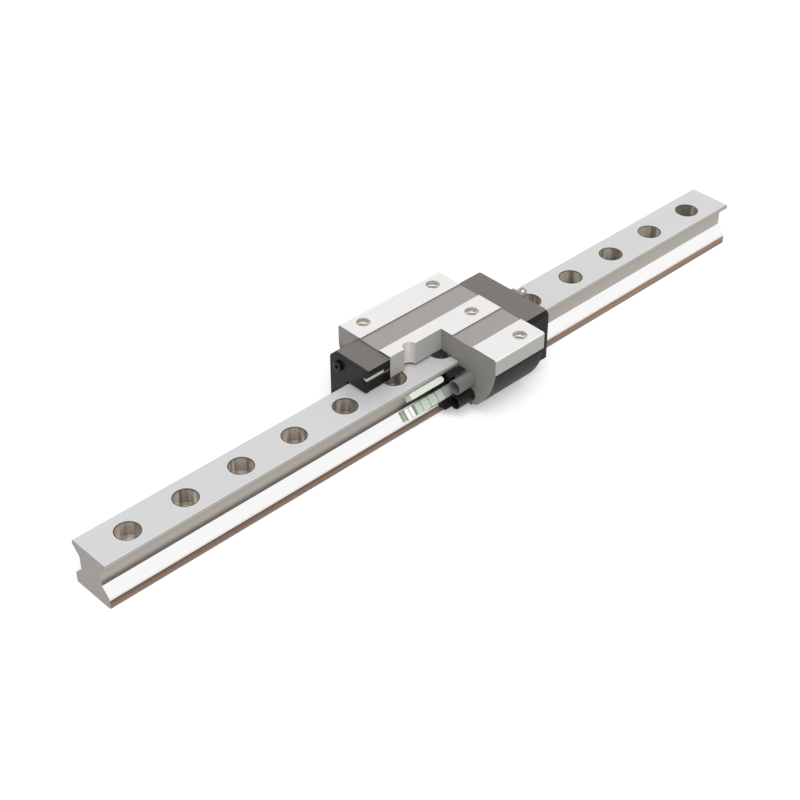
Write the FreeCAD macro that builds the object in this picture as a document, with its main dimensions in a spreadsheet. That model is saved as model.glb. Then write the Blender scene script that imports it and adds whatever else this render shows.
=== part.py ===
"""Roller linear guide of size 25 with a flanged carriage, shown with a quarter of the carriage cut away.

Frame: +X along the rail, +Y across it to the whole side of the carriage, +Z up. The origin is under
the middle of the rail, on the face it is bolted down by. The quarter that is cut away is x < 0, y < 0.
All sizes are in millimetres.
"""
import FreeCAD, Part

import math
import os

import Sketcher
from FreeCAD import Placement, Rotation, Vector

DRIVING = {
    # the rail and its bolt holes
    "rail_length": 400.0,
    "rail_width": 23.0,
    "rail_height": 23.0,
    "rail_land": 1.8,
    "raceway_depth": 4.4,
    "base_side": 5.4,
    "rail_chamfer": 0.4,
    "bolt_pitch": 30.0,
    "bolt_count": 13,
    "bolt_hole": 7.0,
    "bolt_head": 11.0,
    "bolt_head_depth": 9.0,
    # the steel block of the carriage
    "block_width": 70.0,
    "block_top": 36.0,
    "block_length": 64.5,
    "flange_thick": 9.5,
    "foot_wall": 0.7,
    "foot_gap": 4.5,
    "side_radius": 35.0,
    "ceiling_gap": 1.3,
    "chase_gap": 5.0,
    "block_chamfer": 0.8,
    # the ground pads on top of the block and the threaded holes in them
    "centre_pad": 14.5,
    "pad_space": 40.0,
    "pad_step": 0.5,
    "thread_drill": 6.8,
    "thread_depth": 14.0,
    "holes_along": 45.0,
    "holes_across": 57.0,
    "centre_holes_along": 40.0,
    # rollers, their chains and the closed paths they run on
    "roller_diameter": 3.2,
    "roller_length": 4.6,
    "roller_pitch": 4.8,
    "rail_play": 0.1,
    "block_play": 0.05,
    "chain_thick": 3.0,
    "chain_rim": 0.25,
    "pocket_play": 0.1,
    "window_play": 0.5,
    "end_link": 0.8,
    "side_play": 0.1,
    "return_wall": 1.2,
    "turn_wall": 0.35,
    "turn_play": 0.1,
    "tube_bore": 6.2,
    "tube_wall": 0.5,
    # end caps, seals and what fastens them
    "cap_wall": 0.65,
    "cap_drop": 1.2,
    "cap_foot_gap": 4.8,
    "cap_corner": 3.0,
    "cap_play": 0.6,
    "seal_thick": 1.5,
    "seal_lip_play": 0.15,
    "plate_thick": 0.8,
    "plate_play": 0.9,
    "side_seal_thick": 1.2,
    "side_seal_play": 0.25,
    "side_seal_width": 9.0,
    "port_height": 30.4,
    "port_bore": 2.5,
    "port_thread": 4.0,
    "port_thread_depth": 9.0,
    "nipple_length": 9.0,
    "nipple_ball": 4.4,
    "nipple_neck": 3.2,
    "nipple_taper": 1.3,
    "nipple_hex": 7.0,
    "nipple_hex_thick": 2.6,
    # the quarter section and how far the inner pieces stand out of it
    "section_x": 0.0,
    "section_y": 0.0,
    "tube_show": 10.0,
    "upper_holder_show": 9.0,
    "inner_holder_show": 14.0,
    "lower_holder_show": 13.0,
}

FAR = 500.0

doc = FreeCAD.newDocument("roller_guide")
sheet = doc.addObject("Spreadsheet::Sheet", "dims")
for row, (alias, value) in enumerate(DRIVING.items(), start=1):
    sheet.set(f"A{row}", alias)
    sheet.set(f"B{row}", str(value))
    sheet.setAlias(f"B{row}", alias)
doc.recompute()

# The edges of the rail's half section, as formulas of the sheet
RAIL_HALF = "(dims.rail_width / 2)"
HEAD_LOW = "(dims.rail_height - dims.rail_land)"
WAIST = "(dims.rail_width / 2 - dims.raceway_depth)"
WAIST_TOP = "(dims.rail_height - dims.rail_land - dims.raceway_depth)"
WAIST_LOW = "(dims.base_side + dims.raceway_depth)"

# How far up or down a corner of the 45 degree flanks moves when the section grows by one
FLANK_SHIFT = "(sqrt(2) - 1)"

# A roller row lies in the middle of its raceway, half a roller and the play off its face at 45 degrees
DIAGONAL = "sqrt(2)"
ROW_OFFSET = f"((dims.roller_diameter / 2 + dims.rail_play) / {DIAGONAL})"
ROW_Y = f"({RAIL_HALF} - dims.raceway_depth / 2 + {ROW_OFFSET})"
UPPER_Z = f"({HEAD_LOW} - dims.raceway_depth / 2 - {ROW_OFFSET})"
LOWER_Z = f"(dims.base_side + dims.raceway_depth / 2 + {ROW_OFFSET})"

# The steel raceways stand the same way off the rows, and the holders end just beside the chains
STEEL_OFFSET = f"((dims.roller_diameter / 2 + dims.block_play) * {DIAGONAL})"
POCKET_LENGTH = "(dims.roller_length + 2 * dims.pocket_play)"
CHAIN_WIDTH = f"({POCKET_LENGTH} + 2 * dims.chain_rim)"
WINDOW_HALF = "(dims.roller_diameter / 2 + dims.window_play)"
HOLDER_REACH = f"({CHAIN_WIDTH} / 2 + dims.side_play)"
TOOTH_TIP = f"({ROW_Y} + {STEEL_OFFSET} / 2 - {HOLDER_REACH} / {DIAGONAL})"
CHASE_HALF = f"({RAIL_HALF} + dims.chase_gap)"
CEILING = "(dims.rail_height + dims.ceiling_gap)"
BESIDE_RAIL = f"({RAIL_HALF} + dims.cap_play)"

# The two return holes of a side lie one above the other, with a steel wall between them
TUBE_RADIUS = "(dims.tube_bore / 2 + dims.tube_wall)"
RETURN_SHIFT = f"({TUBE_RADIUS} + (dims.return_wall + {UPPER_Z} - {LOWER_Z}) / 2)"
TURN_SPAN = f"({RETURN_SHIFT} * {DIAGONAL})"
TURN_RADIUS = f"({TURN_SPAN} / 2)"
CHANNEL_HALF = "(dims.roller_diameter / 2 + dims.turn_play)"

# A lower row turns so far out beyond an upper one that a wall is left where their channels cross
CORE_RADIUS = f"({TURN_RADIUS} - {CHANNEL_HALF})"
CHANNEL_RADIUS = f"({TURN_RADIUS} + {CHANNEL_HALF})"
CORE_DEPTH = f"sqrt({CORE_RADIUS} * {CORE_RADIUS} - {HOLDER_REACH} * {HOLDER_REACH})"
TURN_OUT = f"({CHANNEL_RADIUS} + dims.turn_wall - {CORE_DEPTH})"
CHANNEL_WIDTH = f"(2 * {HOLDER_REACH})"

BLOCK_END = "(dims.block_length / 2)"
CAP_LENGTH = f"({TURN_OUT} + {CHANNEL_RADIUS} + dims.cap_wall)"
CAP_END = f"({BLOCK_END} + {CAP_LENGTH})"
SEAL_END = f"({CAP_END} + dims.seal_thick)"
PLATE_END = f"({SEAL_END} + dims.plate_thick)"

SIDES = {"left": 1, "right": -1}
ENDS = {"front": -1, "rear": 1}
ROW_Z = {"upper": UPPER_Z, "lower": LOWER_Z}

# The right return holes hold tubes; on the closed left side the tubes are one with the block
RETURN_HOLE = {"left": "dims.tube_bore", "right": f"(2 * {TUBE_RADIUS})"}
RETURN_Y = f"({ROW_Y} + {RETURN_SHIFT})"
RETURN_Z = {"upper": f"({UPPER_Z} - {RETURN_SHIFT})", "lower": f"({LOWER_Z} + {RETURN_SHIFT})"}
FOOT_HALF = f"({RETURN_Y} + {TUBE_RADIUS} + dims.foot_wall)"

STAGGER = {"upper": "0", "lower": TURN_OUT}

# Steps of the roller pitch, counted from the middle: what the section lays open of the two right rows
LOWER_STEPS = range(-6, 0)
UPPER_STEPS = range(-6, -2)

# The turn of each row's plane about X: it holds the X axis and the line across the raceway
ROW_ANGLE = {
    ("left", "upper"): -45,
    ("left", "lower"): 45,
    ("right", "upper"): -135,
    ("right", "lower"): 135,
}


def number(formula):
    """The value of a formula of the sheet."""
    return float(sheet.evalExpression(str(formula)))


def new_body(label):
    """A body whose label is the name of its piece."""
    body = doc.addObject("PartDesign::Body", label)
    body.Label = label
    return body


def origin_feature(body, role):
    """A plane or axis of a body's own origin."""
    return next(item for item in body.Origin.OriginFeatures if item.Role == role)


def bind_placement(target, name, x="0", y="0", z="0", angle="0"):
    """Tie a placement to formulas: its place, and its turn about X in degrees."""
    placement = Placement(Vector(number(x), number(y), number(z)), Rotation(Vector(1, 0, 0), number(angle)))
    setattr(target, name, placement)
    for axis, formula in zip("xyz", (x, y, z)):
        target.setExpression(f"{name}.Base.{axis}", str(formula))


def new_sketch(body, name, role="YZ_Plane", x="0", y="0", z="0", angle="0"):
    """A sketch on a plane of the body's origin, shifted in that plane's own axes and turned about its X."""
    sketch = body.newObject("Sketcher::SketchObject", name)
    sketch.AttachmentSupport = [(origin_feature(body, role), "")]
    sketch.MapMode = "FlatFace"
    bind_placement(sketch, "AttachmentOffset", x, y, z, angle)
    return sketch


def pin_along(sketch, geometry, end, kind, formula):
    """Hold one point of an edge at a distance from the sketch's origin, along one of its axes."""
    value = number(formula)
    if abs(value) < 1e-9:
        axis = -2 if kind == "DistanceX" else -1
        sketch.addConstraint(Sketcher.Constraint("PointOnObject", geometry, end, axis))
        return
    index = sketch.addConstraint(Sketcher.Constraint(kind, -1, 1, geometry, end, value))
    sketch.setExpression(f"Constraints[{index}]", str(formula))


def pin_point(sketch, geometry, end, point):
    """Hold one point of an edge at a place given by two formulas."""
    pin_along(sketch, geometry, end, "DistanceX", point[0])
    pin_along(sketch, geometry, end, "DistanceY", point[1])


def arc_between(start, end, radius, turn):
    """A circle arc from start to end, bending to the left (turn 1) or to the right (turn -1)."""
    chord = end - start
    middle = (start + end) * 0.5
    height = math.sqrt(max(radius**2 - (chord.Length / 2) ** 2, 0.0))
    across = Vector(-chord.y, chord.x, 0).normalize() * turn
    centre = middle + across * height
    angles = [math.atan2((p - centre).y, (p - centre).x) for p in (start, end)]
    if turn < 0:
        angles.reverse()
    return Part.ArcOfCircle(Part.Circle(centre, Vector(0, 0, 1), radius), *angles)


def draw_outline(sketch, corners):
    """A closed outline of corners (x, y), or (x, y, radius, turn) where an arc leaves the corner.

    An arc turns left with turn 1 and right with turn -1. One with no radius is a half circle whose
    centre lies straight above or below the corner.
    """
    places = [Vector(number(c[0]), number(c[1]), 0) for c in corners]
    ends = []
    for index, corner in enumerate(corners):
        start, end = places[index], places[(index + 1) % len(places)]
        if len(corner) == 4:
            radius = number(corner[2]) if corner[2] else (end - start).Length / 2
            geometry = sketch.addGeometry(arc_between(start, end, radius, corner[3]))
            ends.append((geometry, 1, 2) if corner[3] > 0 else (geometry, 2, 1))
        else:
            ends.append((sketch.addGeometry(Part.LineSegment(start, end)), 1, 2))
    for index, (geometry, start, end) in enumerate(ends):
        following = ends[(index + 1) % len(ends)]
        sketch.addConstraint(Sketcher.Constraint("Coincident", geometry, end, following[0], following[1]))
    for corner, (geometry, start, end) in zip(corners, ends):
        pin_point(sketch, geometry, start, corner)
        if len(corner) == 4 and corner[2] is None:
            pin_along(sketch, geometry, 3, "DistanceX", corner[0])
        elif len(corner) == 4:
            index = sketch.addConstraint(Sketcher.Constraint("Radius", geometry, number(corner[2])))
            sketch.setExpression(f"Constraints[{index}]", str(corner[2]))


def draw_circle(sketch, x, y, diameter):
    """A circle whose centre and diameter are formulas."""
    circle = Part.Circle(Vector(number(x), number(y), 0), Vector(0, 0, 1), number(diameter) / 2)
    geometry = sketch.addGeometry(circle)
    pin_point(sketch, geometry, 3, (x, y))
    index = sketch.addConstraint(Sketcher.Constraint("Diameter", geometry, number(diameter)))
    sketch.setExpression(f"Constraints[{index}]", str(diameter))


def draw_box(sketch, x_low, y_low, x_high, y_high):
    """A rectangle between two corners given by formulas."""
    draw_outline(sketch, [(x_low, y_low), (x_high, y_low), (x_high, y_high), (x_low, y_high)])


def mirrored(half):
    """A whole outline from the corners of its +Y half, which may start and end on the middle line."""
    corners = list(half)
    for index in reversed(range(len(half))):
        y, z = half[index][:2]
        if abs(number(y)) > 1e-9:
            corners.append((f"-({y})", z) + tuple(half[index - 1][2:] if index else ()))
    return corners


def add_pad(body, sketch, name, length, midplane=False, reverse=False):
    """Material drawn out from a sketch."""
    pad = body.newObject("PartDesign::Pad", name)
    pad.Profile = sketch
    pad.Midplane = midplane
    pad.Reversed = reverse
    pad.Length = number(length)
    pad.setExpression("Length", str(length))
    sketch.Visibility = False
    return pad


def add_pocket(body, sketch, name, length=None, midplane=False, reverse=False):
    """Material cut from a sketch against its normal, or all the way both ways."""
    pocket = body.newObject("PartDesign::Pocket", name)
    pocket.Profile = sketch
    if length is None:
        pocket.Type = "ThroughAll"
        pocket.Midplane = True
    else:
        pocket.Midplane = midplane
        pocket.Reversed = reverse
        pocket.Length = number(length)
        pocket.setExpression("Length", str(length))
    sketch.Visibility = False
    return pocket


def add_revolution(body, sketch, name):
    """A full turn of a sketch about its own horizontal axis."""
    turned = body.newObject("PartDesign::Revolution", name)
    turned.Profile = sketch
    turned.ReferenceAxis = (sketch, ["H_Axis"])
    turned.Angle = 360
    sketch.Visibility = False
    return turned


def cut_quarter(body):
    """Take away the quarter of a piece that the section shows through."""
    sketch = new_sketch(body, f"{body.Label}_section", "XY_Plane")
    draw_box(sketch, f"-{FAR}", f"-{FAR}", "dims.section_x", "dims.section_y")
    return add_pocket(body, sketch, f"{body.Label}_quarter")


def end_planes(shape):
    """The names of the flat faces of a shape that look along X at its two ends."""
    found = []
    for index, face in enumerate(shape.Faces, start=1):
        if face.Surface.TypeId != "Part::GeomPlane":
            continue
        centre = face.CenterOfMass
        at_end = min(abs(centre.x - shape.BoundBox.XMin), abs(centre.x - shape.BoundBox.XMax)) < 1e-6
        if at_end and abs(abs(face.normalAt(0, 0).x) - 1) < 1e-6:
            found.append(f"Face{index}")
    return found


def rail_section(play):
    """Half of the rail's section from its bottom up, grown by a play on the sides and the top."""
    shift = f"{play} * {FLANK_SHIFT}"
    return [
        (f"{RAIL_HALF} + {play}", f"dims.base_side - {shift}"),
        (f"{WAIST} + {play}", f"{WAIST_LOW} - {shift}"),
        (f"{WAIST} + {play}", f"{WAIST_TOP} + {shift}"),
        (f"{RAIL_HALF} + {play}", f"{HEAD_LOW} + {shift}"),
        (f"{RAIL_HALF} + {play}", f"dims.rail_height + {play}"),
    ]


def make_rail():
    """The ground steel rail with a row of counterbored bolt holes."""
    body = new_body("rail")
    sketch = new_sketch(body, "rail_profile")
    top = "dims.rail_height"
    half = [("0", "0"), (RAIL_HALF, "0")] + rail_section("0")[:-1]
    half += [(RAIL_HALF, f"{top} - dims.rail_chamfer"), (f"{RAIL_HALF} - dims.rail_chamfer", top)]
    draw_outline(sketch, mirrored(half))
    bar = add_pad(body, sketch, "rail_bar", "dims.rail_length", midplane=True)
    doc.recompute()
    chamfer = body.newObject("PartDesign::Chamfer", "rail_end_chamfer")
    chamfer.Base = (bar, end_planes(bar.Shape))
    chamfer.Size = number("dims.rail_chamfer")
    chamfer.setExpression("Size", "dims.rail_chamfer")
    first = "-(dims.bolt_count - 1) / 2 * dims.bolt_pitch"
    through = new_sketch(body, "bolt_hole_place", "XY_Plane")
    draw_circle(through, first, "0", "dims.bolt_hole")
    hole = add_pocket(body, through, "bolt_hole")
    seat = new_sketch(body, "bolt_head_place", "XY_Plane", z=top)
    draw_circle(seat, first, "0", "dims.bolt_head")
    counterbore = add_pocket(body, seat, "bolt_head_seat", "dims.bolt_head_depth")
    row = body.newObject("PartDesign::LinearPattern", "bolt_row")
    row.Originals = [hole, counterbore]
    row.Direction = (origin_feature(body, "X_Axis"), [""])
    row.Length = number("(dims.bolt_count - 1) * dims.bolt_pitch")
    row.setExpression("Length", "(dims.bolt_count - 1) * dims.bolt_pitch")
    row.Occurrences = int(number("dims.bolt_count"))
    row.setExpression("Occurrences", "dims.bolt_count")
    body.Tip = row
    return body


def steel_line(row, y):
    """The height of a row's steel raceway, carried on, at a distance y from the middle."""
    if row == "upper":
        return f"({UPPER_Z} - {STEEL_OFFSET} + {y} - {ROW_Y})"
    return f"({LOWER_Z} + {STEEL_OFFSET} - {y} + {ROW_Y})"


def make_block():
    """The steel block: flanges, sides that draw in to the feet, and a raceway tooth along each side."""
    body = new_body("carriage_block")
    sketch = new_sketch(body, "block_profile")
    half_width = "dims.block_width / 2"
    top = "dims.block_top"
    half = [
        ("0", CEILING),
        (BESIDE_RAIL, CEILING),
        (BESIDE_RAIL, steel_line("upper", CHASE_HALF)),
        (CHASE_HALF, steel_line("upper", CHASE_HALF)),
        (TOOTH_TIP, steel_line("upper", TOOTH_TIP)),
        (TOOTH_TIP, steel_line("lower", TOOTH_TIP)),
        (CHASE_HALF, steel_line("lower", CHASE_HALF)),
        (CHASE_HALF, "dims.foot_gap"),
        (FOOT_HALF, "dims.foot_gap", "dims.side_radius", 1),
        (half_width, f"{top} - dims.flange_thick"),
        (half_width, f"{top} - dims.block_chamfer"),
        (f"{half_width} - dims.block_chamfer", top),
        ("0", top),
    ]
    draw_outline(sketch, mirrored(half))
    add_pad(body, sketch, "block_bar", "dims.block_length", midplane=True)

    recess = new_sketch(body, "pad_recess_places", "XY_Plane", z=top)
    beyond = "dims.block_length"
    draw_box(recess, f"-{beyond}", "dims.centre_pad / 2", beyond, "dims.pad_space / 2")
    draw_box(recess, f"-{beyond}", "-dims.pad_space / 2", beyond, "-dims.centre_pad / 2")
    add_pocket(body, recess, "pad_recess", "dims.pad_step")

    returns = new_sketch(body, "return_hole_places")
    for side, bore in RETURN_HOLE.items():
        for row in ROW_Z:
            draw_circle(returns, f"{SIDES[side]} * {RETURN_Y}", RETURN_Z[row], bore)
    add_pocket(body, returns, "return_holes")

    corners = new_sketch(body, "corner_thread_places", "XY_Plane", z=top)
    for x in (1, -1):
        for y in (1, -1):
            place = (f"{x} * dims.holes_along / 2", f"{y} * dims.holes_across / 2")
            draw_circle(corners, *place, "dims.thread_drill")
    add_pocket(body, corners, "corner_threads", "dims.thread_depth")
    centre = new_sketch(body, "centre_thread_places", "XY_Plane", z=top)
    for x in (1, -1):
        draw_circle(centre, f"{x} * dims.centre_holes_along / 2", "0", "dims.thread_drill")
    add_pocket(body, centre, "centre_threads", f"{top} - dims.rail_height")
    cut_quarter(body)
    return body


def cap_outline(foot_gap, play):
    """Half of the outline of an end cap or seal: an arch that stands off the rail by a play."""
    top = "(dims.block_top - dims.cap_drop)"
    arch = list(reversed(rail_section(play)))
    bottom = (arch[-1][0], foot_gap)
    return [("0", arch[0][1])] + arch + [
        bottom,
        (f"{FOOT_HALF} - dims.cap_corner", foot_gap),
        (FOOT_HALF, f"{foot_gap} + dims.cap_corner"),
        (FOOT_HALF, f"{top} - dims.cap_corner", "dims.cap_corner", 1),
        (f"{FOOT_HALF} - dims.cap_corner", top),
        ("0", top),
    ]


def plate_body(label, outline, start, length, end):
    """A flat piece with the outline of a cap, set at a place along X on one end of the carriage."""
    body = new_body(label)
    sketch = new_sketch(body, f"{label}_profile", z=f"{ENDS[end]} * {start}")
    draw_outline(sketch, mirrored(outline))
    add_pad(body, sketch, f"{label}_plate", length, reverse=ENDS[end] < 0)
    return body


def turn_outline(sketch, end, stagger, radius):
    """The side view of a turn: a half disc, set off from the block's end by a straight stretch."""
    sign = ENDS[end]
    face = f"{sign} * {BLOCK_END}"
    centre = f"{sign} * ({BLOCK_END} + {stagger})"
    low, high = f"{TURN_RADIUS} - {radius}", f"{TURN_RADIUS} + {radius}"
    if number(stagger) == 0:
        draw_outline(sketch, [(face, low, None, sign), (face, high)])
    else:
        draw_outline(sketch, [(face, low), (centre, low, None, sign), (centre, high), (face, high)])


def row_sketch(body, name, side, row):
    """A sketch in the plane of a row: its x along the rail, its y from the raceway to the return hole."""
    y = f"{SIDES[side]} * {ROW_Y}"
    return new_sketch(body, name, "XY_Plane", y=y, z=ROW_Z[row], angle=ROW_ANGLE[side, row])


def make_end_cap(end, sides):
    """A moulded cap that turns the rollers round, with its grease port in the middle."""
    label = f"{end}_end_cap"
    sign = ENDS[end]
    body = plate_body(label, cap_outline("dims.cap_foot_gap", "dims.cap_play"), BLOCK_END, CAP_LENGTH, end)
    for side in sides:
        for row in ROW_Z:
            name = f"{end}_{side}_{row}"
            sketch = row_sketch(body, f"{name}_turn_side", side, row)
            turn_outline(sketch, end, STAGGER[row], CHANNEL_RADIUS)
            add_pocket(body, sketch, f"{name}_turn", CHANNEL_WIDTH, midplane=True)
    port = new_sketch(body, f"{label}_port_place", z=f"{sign} * {CAP_END}")
    draw_circle(port, "0", "dims.port_height", "dims.port_bore")
    add_pocket(body, port, f"{label}_port", CAP_LENGTH, reverse=sign < 0)
    thread = new_sketch(body, f"{label}_port_thread_place", z=f"{sign} * {CAP_END}")
    draw_circle(thread, "0", "dims.port_height", "dims.port_thread")
    add_pocket(body, thread, f"{label}_port_thread", "dims.port_thread_depth", reverse=sign < 0)
    if len(sides) == 1:
        cut_quarter(body)
    return body


def make_return_guide(end, side):
    """The core that both rows of one side turn round, with the channel of the upper row through it."""
    label = f"{end}_{side}_return_guide"
    body = new_body(label)
    core = row_sketch(body, f"{label}_lower_core", side, "lower")
    turn_outline(core, end, STAGGER["lower"], CORE_RADIUS)
    add_pad(body, core, f"{label}_lower_pad", CHANNEL_WIDTH, midplane=True)
    channel = row_sketch(body, f"{label}_channel_side", side, "upper")
    turn_outline(channel, end, STAGGER["upper"], CHANNEL_RADIUS)
    add_pocket(body, channel, f"{label}_channel", CHANNEL_WIDTH, midplane=True)
    inner = row_sketch(body, f"{label}_upper_core", side, "upper")
    turn_outline(inner, end, STAGGER["upper"], CORE_RADIUS)
    add_pad(body, inner, f"{label}_upper_pad", CHANNEL_WIDTH, midplane=True)
    return body


def racetrack(row, offset):
    """The outline of a closed chain at an offset outwards from the middle of its path."""
    reach = f"({BLOCK_END} + {STAGGER[row]})"
    return [
        (f"-{reach}", f"-({offset})"),
        (reach, f"-({offset})", None, 1),
        (reach, f"{TURN_SPAN} + {offset}"),
        (f"-{reach}", f"{TURN_SPAN} + {offset}", None, 1),
    ]


def hairpin(row, start, start_round):
    """The outline of a chain from a place on the raceway, round the rear turn and back to the section."""
    finish = "dims.section_x"
    half = "dims.chain_thick / 2"
    reach = f"({BLOCK_END} + {STAGGER[row]})"
    return [
        (start, f"-{half}"),
        (reach, f"-{half}", None, 1),
        (reach, f"{TURN_SPAN} + {half}"),
        (finish, f"{TURN_SPAN} + {half}"),
        (finish, f"{TURN_SPAN} - {half}"),
        (reach, f"{TURN_SPAN} - {half}", None, -1),
        (reach, half),
        (start, half, None, 1) if start_round else (start, half),
    ]


def short_chain(start, finish):
    """The outline of a straight length of chain whose far end is rounded."""
    half = "dims.chain_thick / 2"
    return [(start, f"-{half}"), (finish, f"-{half}", None, 1), (finish, half), (start, half)]


def draw_octagon(sketch, x, across):
    """A regular octagon on the middle of a chain, as wide as a roller's pocket."""
    flat = f"({across} / 2)"
    corner = f"({across} / 2 * (sqrt(2) - 1))"
    places = [(flat, corner), (corner, flat), (f"-{corner}", flat), (f"-{flat}", corner)]
    opposite = [(f"-({along})", f"-({up})") for along, up in places]
    draw_outline(sketch, [(f"{x} + {along}", up) for along, up in places + opposite])


def place_row(body, side, row):
    """Put a piece drawn in a row's own frame where that row is."""
    y = f"{SIDES[side]} * {ROW_Y}"
    bind_placement(body, "Placement", y=y, z=ROW_Z[row], angle=ROW_ANGLE[side, row])


def make_chain(side, row, outlines, pockets=(), window=None):
    """The moulded chain of a row, with a pocket round each roller and a side band past its ends.

    The window is the place of a roller that lies bare, because the chain is open there all the way.
    """
    label = f"{side}_{row}_roller_chain"
    body = new_body(label)
    sketch = new_sketch(body, f"{label}_side", "XY_Plane")
    for outline in outlines:
        draw_outline(sketch, outline)
    add_pad(body, sketch, f"{label}_band", CHAIN_WIDTH, midplane=True)
    if pockets:
        places = new_sketch(body, f"{label}_pocket_places", "XY_Plane")
        across = "(dims.roller_diameter + 2 * dims.pocket_play)"
        for step in pockets:
            draw_octagon(places, f"{step} * dims.roller_pitch", across)
        add_pocket(body, places, f"{label}_pockets", POCKET_LENGTH, midplane=True)
    if window is not None:
        opening = new_sketch(body, f"{label}_window_place", "XY_Plane")
        start = f"{window} * dims.roller_pitch - {WINDOW_HALF}"
        finish = f"{window} * dims.roller_pitch + {WINDOW_HALF}"
        draw_box(opening, start, "-dims.chain_thick", finish, "dims.chain_thick")
        add_pocket(body, opening, f"{label}_window", POCKET_LENGTH, midplane=True)
    place_row(body, side, row)
    return body


def make_rollers(side, row, steps):
    """The steel rollers of one row, each a solid of its own."""
    label = f"{side}_{row}_rollers"
    body = new_body(label)
    sketch = new_sketch(body, f"{label}_places", "XY_Plane")
    for step in steps:
        draw_circle(sketch, f"{step} * dims.roller_pitch", "0", "dims.roller_diameter")
    add_pad(body, sketch, f"{label}_pad", "dims.roller_length", midplane=True)
    place_row(body, side, row)
    return body


def make_rows():
    """The chains of the four rows, and the rollers that the section lays open.

    The two left chains are closed loops. The lower right one starts at its end link, and the upper
    right one as a length laid on the rail, with the rest of it starting just inside the steel.
    """
    half = "dims.chain_thick / 2"
    pitch = "dims.roller_pitch"
    pieces = []
    for row in ROW_Z:
        pieces.append(make_chain("left", row, [racetrack(row, half), racetrack(row, f"-{half}")]))
    first, last = LOWER_STEPS[0], LOWER_STEPS[-1]
    link = f"{first} * {pitch} - {WINDOW_HALF} - dims.end_link"
    outline = hairpin("lower", link, True)
    pieces.append(make_chain("right", "lower", [outline], LOWER_STEPS[1:], first))
    pieces.append(make_rollers("right", "lower", LOWER_STEPS))
    first, last = UPPER_STEPS[0], UPPER_STEPS[-1]
    laid = short_chain(f"({first} - 0.5) * {pitch}", f"({last} + 0.5) * {pitch}")
    outline = hairpin("upper", f"0.5 * {pitch}", False)
    pieces.append(make_chain("right", "upper", [laid, outline], UPPER_STEPS))
    pieces.append(make_rollers("right", "upper", UPPER_STEPS))
    return pieces


def run_start(side, show):
    """Where a piece along the block starts: at its front, or so far out of the section on the right."""
    return f"-{BLOCK_END}" if side == "left" else f"(dims.section_x - {show})"


def make_strip(label, outline, side, show):
    """A straight strip along the block, cut back on the right to where the section shows it."""
    body = new_body(label)
    start = run_start(side, show)
    sketch = new_sketch(body, f"{label}_profile", z=start)
    draw_outline(sketch, [(f"{SIDES[side]} * ({y})", z) for y, z in outline])
    add_pad(body, sketch, f"{label}_bar", f"{BLOCK_END} - {start}")
    return body


def holder_outlines():
    """The sections of the three strips that keep the chains of one side in place."""
    reach = f"({HOLDER_REACH} * {DIAGONAL})"
    beside = f"({ROW_Y} + ({STEEL_OFFSET} + {reach}) / 2)"
    off_rail = f"({ROW_Y} + (-{ROW_OFFSET} * 2 + dims.cap_play * {DIAGONAL} - {reach}) / 2)"
    upper = [
        (BESIDE_RAIL, f"{UPPER_Z} + {reach} - ({BESIDE_RAIL} - {ROW_Y})"),
        (beside, f"{UPPER_Z} + {reach} - ({beside} - {ROW_Y})"),
        (CHASE_HALF, steel_line("upper", CHASE_HALF)),
        (BESIDE_RAIL, steel_line("upper", CHASE_HALF)),
    ]
    lower = [
        (BESIDE_RAIL, f"{LOWER_Z} - {reach} + ({BESIDE_RAIL} - {ROW_Y})"),
        (beside, f"{LOWER_Z} - {reach} + ({beside} - {ROW_Y})"),
        (CHASE_HALF, steel_line("lower", CHASE_HALF)),
        (CHASE_HALF, "dims.foot_gap"),
        (BESIDE_RAIL, "dims.foot_gap"),
    ]
    inner = [
        (off_rail, f"{UPPER_Z} - {reach} - ({off_rail} - {ROW_Y})"),
        (TOOTH_TIP, f"{UPPER_Z} - {reach} - ({TOOTH_TIP} - {ROW_Y})"),
        (TOOTH_TIP, f"{LOWER_Z} + {reach} + ({TOOTH_TIP} - {ROW_Y})"),
        (off_rail, f"{LOWER_Z} + {reach} + ({off_rail} - {ROW_Y})"),
    ]
    return {"upper": upper, "inner": inner, "lower": lower}


def make_holders(side):
    """The strips that hold the chains on one side of the block, and the seal along its foot."""
    outlines = holder_outlines()
    pieces = []
    for name, outline in outlines.items():
        pieces.append(make_strip(f"{side}_{name}_holder", outline, side, f"dims.{name}_holder_show"))
    near = f"({RAIL_HALF} + dims.side_seal_play)"
    under = "(dims.foot_gap - dims.side_seal_thick)"
    seal = [
        (near, under),
        (f"{near} + dims.side_seal_width", under),
        (f"{near} + dims.side_seal_width", "dims.foot_gap"),
        (near, "dims.foot_gap"),
    ]
    pieces.append(make_strip(f"{side}_side_seal", seal, side, "0"))
    return pieces


def make_return_tube(row):
    """The moulded tube that lines a right return hole and stands out of the section."""
    label = f"right_{row}_return_tube"
    body = new_body(label)
    start = run_start("right", "dims.tube_show")
    sketch = new_sketch(body, f"{label}_ring", z=start)
    for diameter in (RETURN_HOLE["right"], "dims.tube_bore"):
        draw_circle(sketch, f"{SIDES['right']} * {RETURN_Y}", RETURN_Z[row], diameter)
    add_pad(body, sketch, f"{label}_wall", f"{BLOCK_END} - {start}")
    return body


def make_end_seal(end, sides):
    """The rubber seal on an end cap, whose lip follows the rail."""
    label = f"{end}_end_seal"
    outline = cap_outline("dims.cap_foot_gap", "dims.seal_lip_play")
    body = plate_body(label, outline, CAP_END, "dims.seal_thick", end)
    return open_plate(body, label, end, SEAL_END, sides)


def make_seal_plate(end, sides):
    """The thin steel plate that backs the rubber seal."""
    label = f"{end}_seal_plate"
    outline = cap_outline("dims.cap_foot_gap", "dims.plate_play")
    body = plate_body(label, outline, SEAL_END, "dims.plate_thick", end)
    return open_plate(body, label, end, PLATE_END, sides)


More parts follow.
